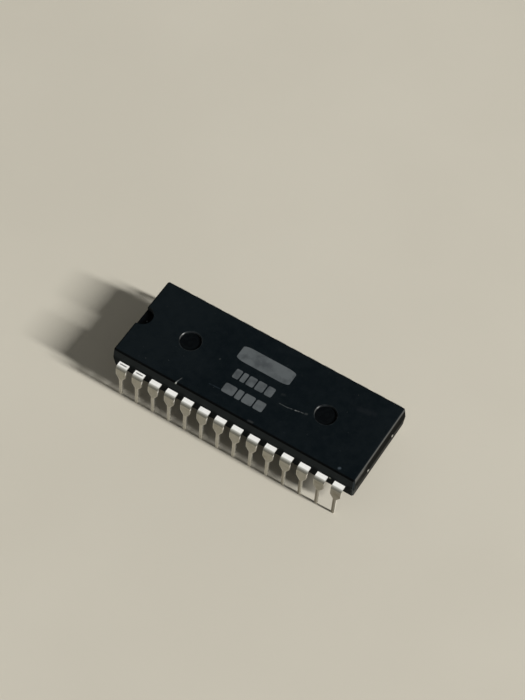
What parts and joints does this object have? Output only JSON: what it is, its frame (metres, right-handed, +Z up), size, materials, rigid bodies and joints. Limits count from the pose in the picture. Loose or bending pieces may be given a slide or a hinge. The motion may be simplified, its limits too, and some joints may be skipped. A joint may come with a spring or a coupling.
{
  "type": "dip integrated circuit chip",
  "caption": "Moulded dual in-line integrated circuit with two rows of formed through-hole leads, a half-round end notch and round ejector marks.",
  "frame": {"origin": "middle of the lead grid, on the plane of the lead tips", "axes": "+X along the package away from the notched end, +Y across to the far row of leads, +Z up out of the top face"},
  "size_m": [0.037, 0.016, 0.0076],
  "materials": {
    "moulding_compound": "matte, finely textured moulding",
    "tinned_lead": "satin tin plate, greyed on the blades",
    "frame_strip": "stamped strip with sheared ends",
    "attach_layer": "cured silver-filled adhesive",
    "silicon": "polished wafer surface",
    "bond_gold": "drawn gold wire"
  },
  "bodies": {
    "root": {"package_body": "moulding_compound", "lead_01": "tinned_lead", "lead_02": "tinned_lead", "lead_03": "tinned_lead", "lead_04": "tinned_lead", "lead_05": "tinned_lead", "lead_06": "tinned_lead", "lead_07": "tinned_lead", "lead_08": "tinned_lead", "lead_09": "tinned_lead", "lead_10": "tinned_lead", "lead_11": "tinned_lead", "lead_12": "tinned_lead", "lead_13": "tinned_lead", "lead_14": "tinned_lead", "lead_15": "tinned_lead", "lead_16": "tinned_lead", "lead_17": "tinned_lead", "lead_18": "tinned_lead", "lead_19": "tinned_lead", "lead_20": "tinned_lead", "lead_21": "tinned_lead", "lead_22": "tinned_lead", "lead_23": "tinned_lead", "lead_24": "tinned_lead", "lead_25": "tinned_lead", "lead_26": "tinned_lead", "lead_27": "tinned_lead", "lead_28": "tinned_lead", "die_paddle": "frame_strip", "die_attach": "attach_layer", "silicon_die": "silicon", "bond_wire_01": "bond_gold", "bond_wire_02": "bond_gold", "bond_wire_03": "bond_gold", "bond_wire_04": "bond_gold", "bond_wire_05": "bond_gold", "bond_wire_06": "bond_gold", "bond_wire_07": "bond_gold", "bond_wire_08": "bond_gold", "bond_wire_09": "bond_gold", "bond_wire_10": "bond_gold", "bond_wire_11": "bond_gold", "bond_wire_12": "bond_gold", "bond_wire_13": "bond_gold", "bond_wire_14": "bond_gold", "bond_wire_15": "bond_gold", "bond_wire_16": "bond_gold", "bond_wire_17": "bond_gold", "bond_wire_18": "bond_gold", "bond_wire_19": "bond_gold", "bond_wire_20": "bond_gold", "bond_wire_21": "bond_gold", "bond_wire_22": "bond_gold", "bond_wire_23": "bond_gold", "bond_wire_24": "bond_gold", "bond_wire_25": "bond_gold", "bond_wire_26": "bond_gold", "bond_wire_27": "bond_gold", "bond_wire_28": "bond_gold"}
  },
  "joints": []
}
